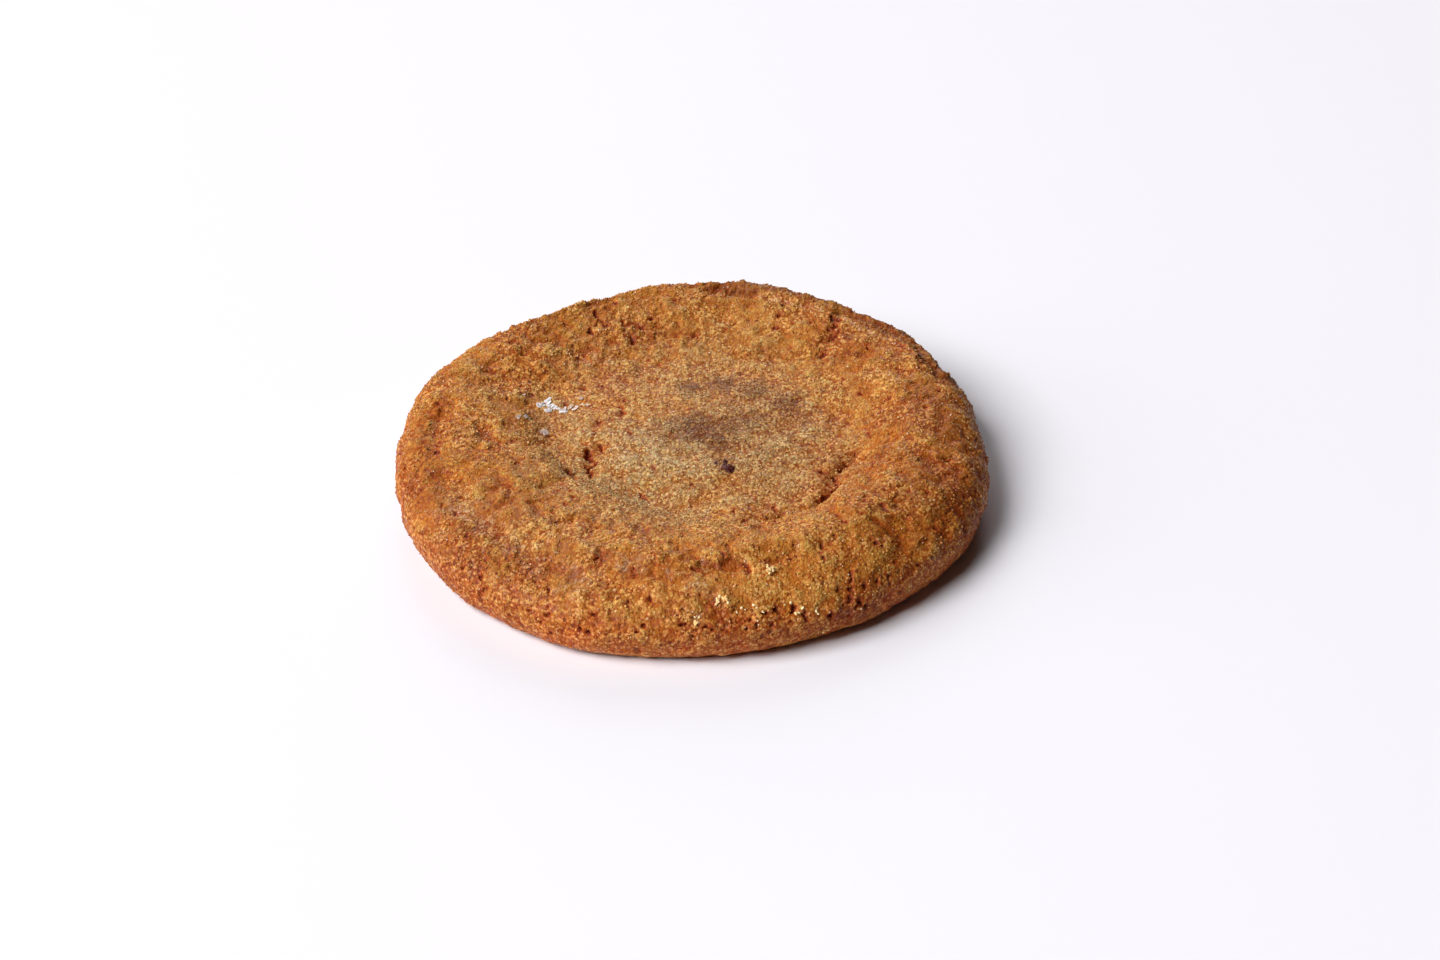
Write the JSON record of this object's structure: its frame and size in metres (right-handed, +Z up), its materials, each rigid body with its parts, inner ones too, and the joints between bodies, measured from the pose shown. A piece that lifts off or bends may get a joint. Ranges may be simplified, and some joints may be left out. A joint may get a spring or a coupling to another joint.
{
  "type": "soft-baked cookie",
  "caption": "Round soft-baked cookie: a sunken cracked middle inside a raised wrinkled ring, a rounded porous edge, a flat base and a few salt flakes on top.",
  "frame": {"origin": "centre of the flat base, on the surface the cookie rests on", "axes": "+Z up through the cookie's top; -Y towards the side seen in front in the picture; +X to the right"},
  "size_m": [0.0999, 0.1007, 0.014],
  "materials": {
    "baked_dough": "golden-brown baked dough, sandy and porous with a faint sugary sheen",
    "salt": "white, slightly translucent crystals",
    "crumb": "dry pale-yellow crumb",
    "dark_chocolate": "dark chocolate with a dull gloss"
  },
  "bodies": {
    "root": {"cookie": "baked_dough"}
  },
  "joints": []
}
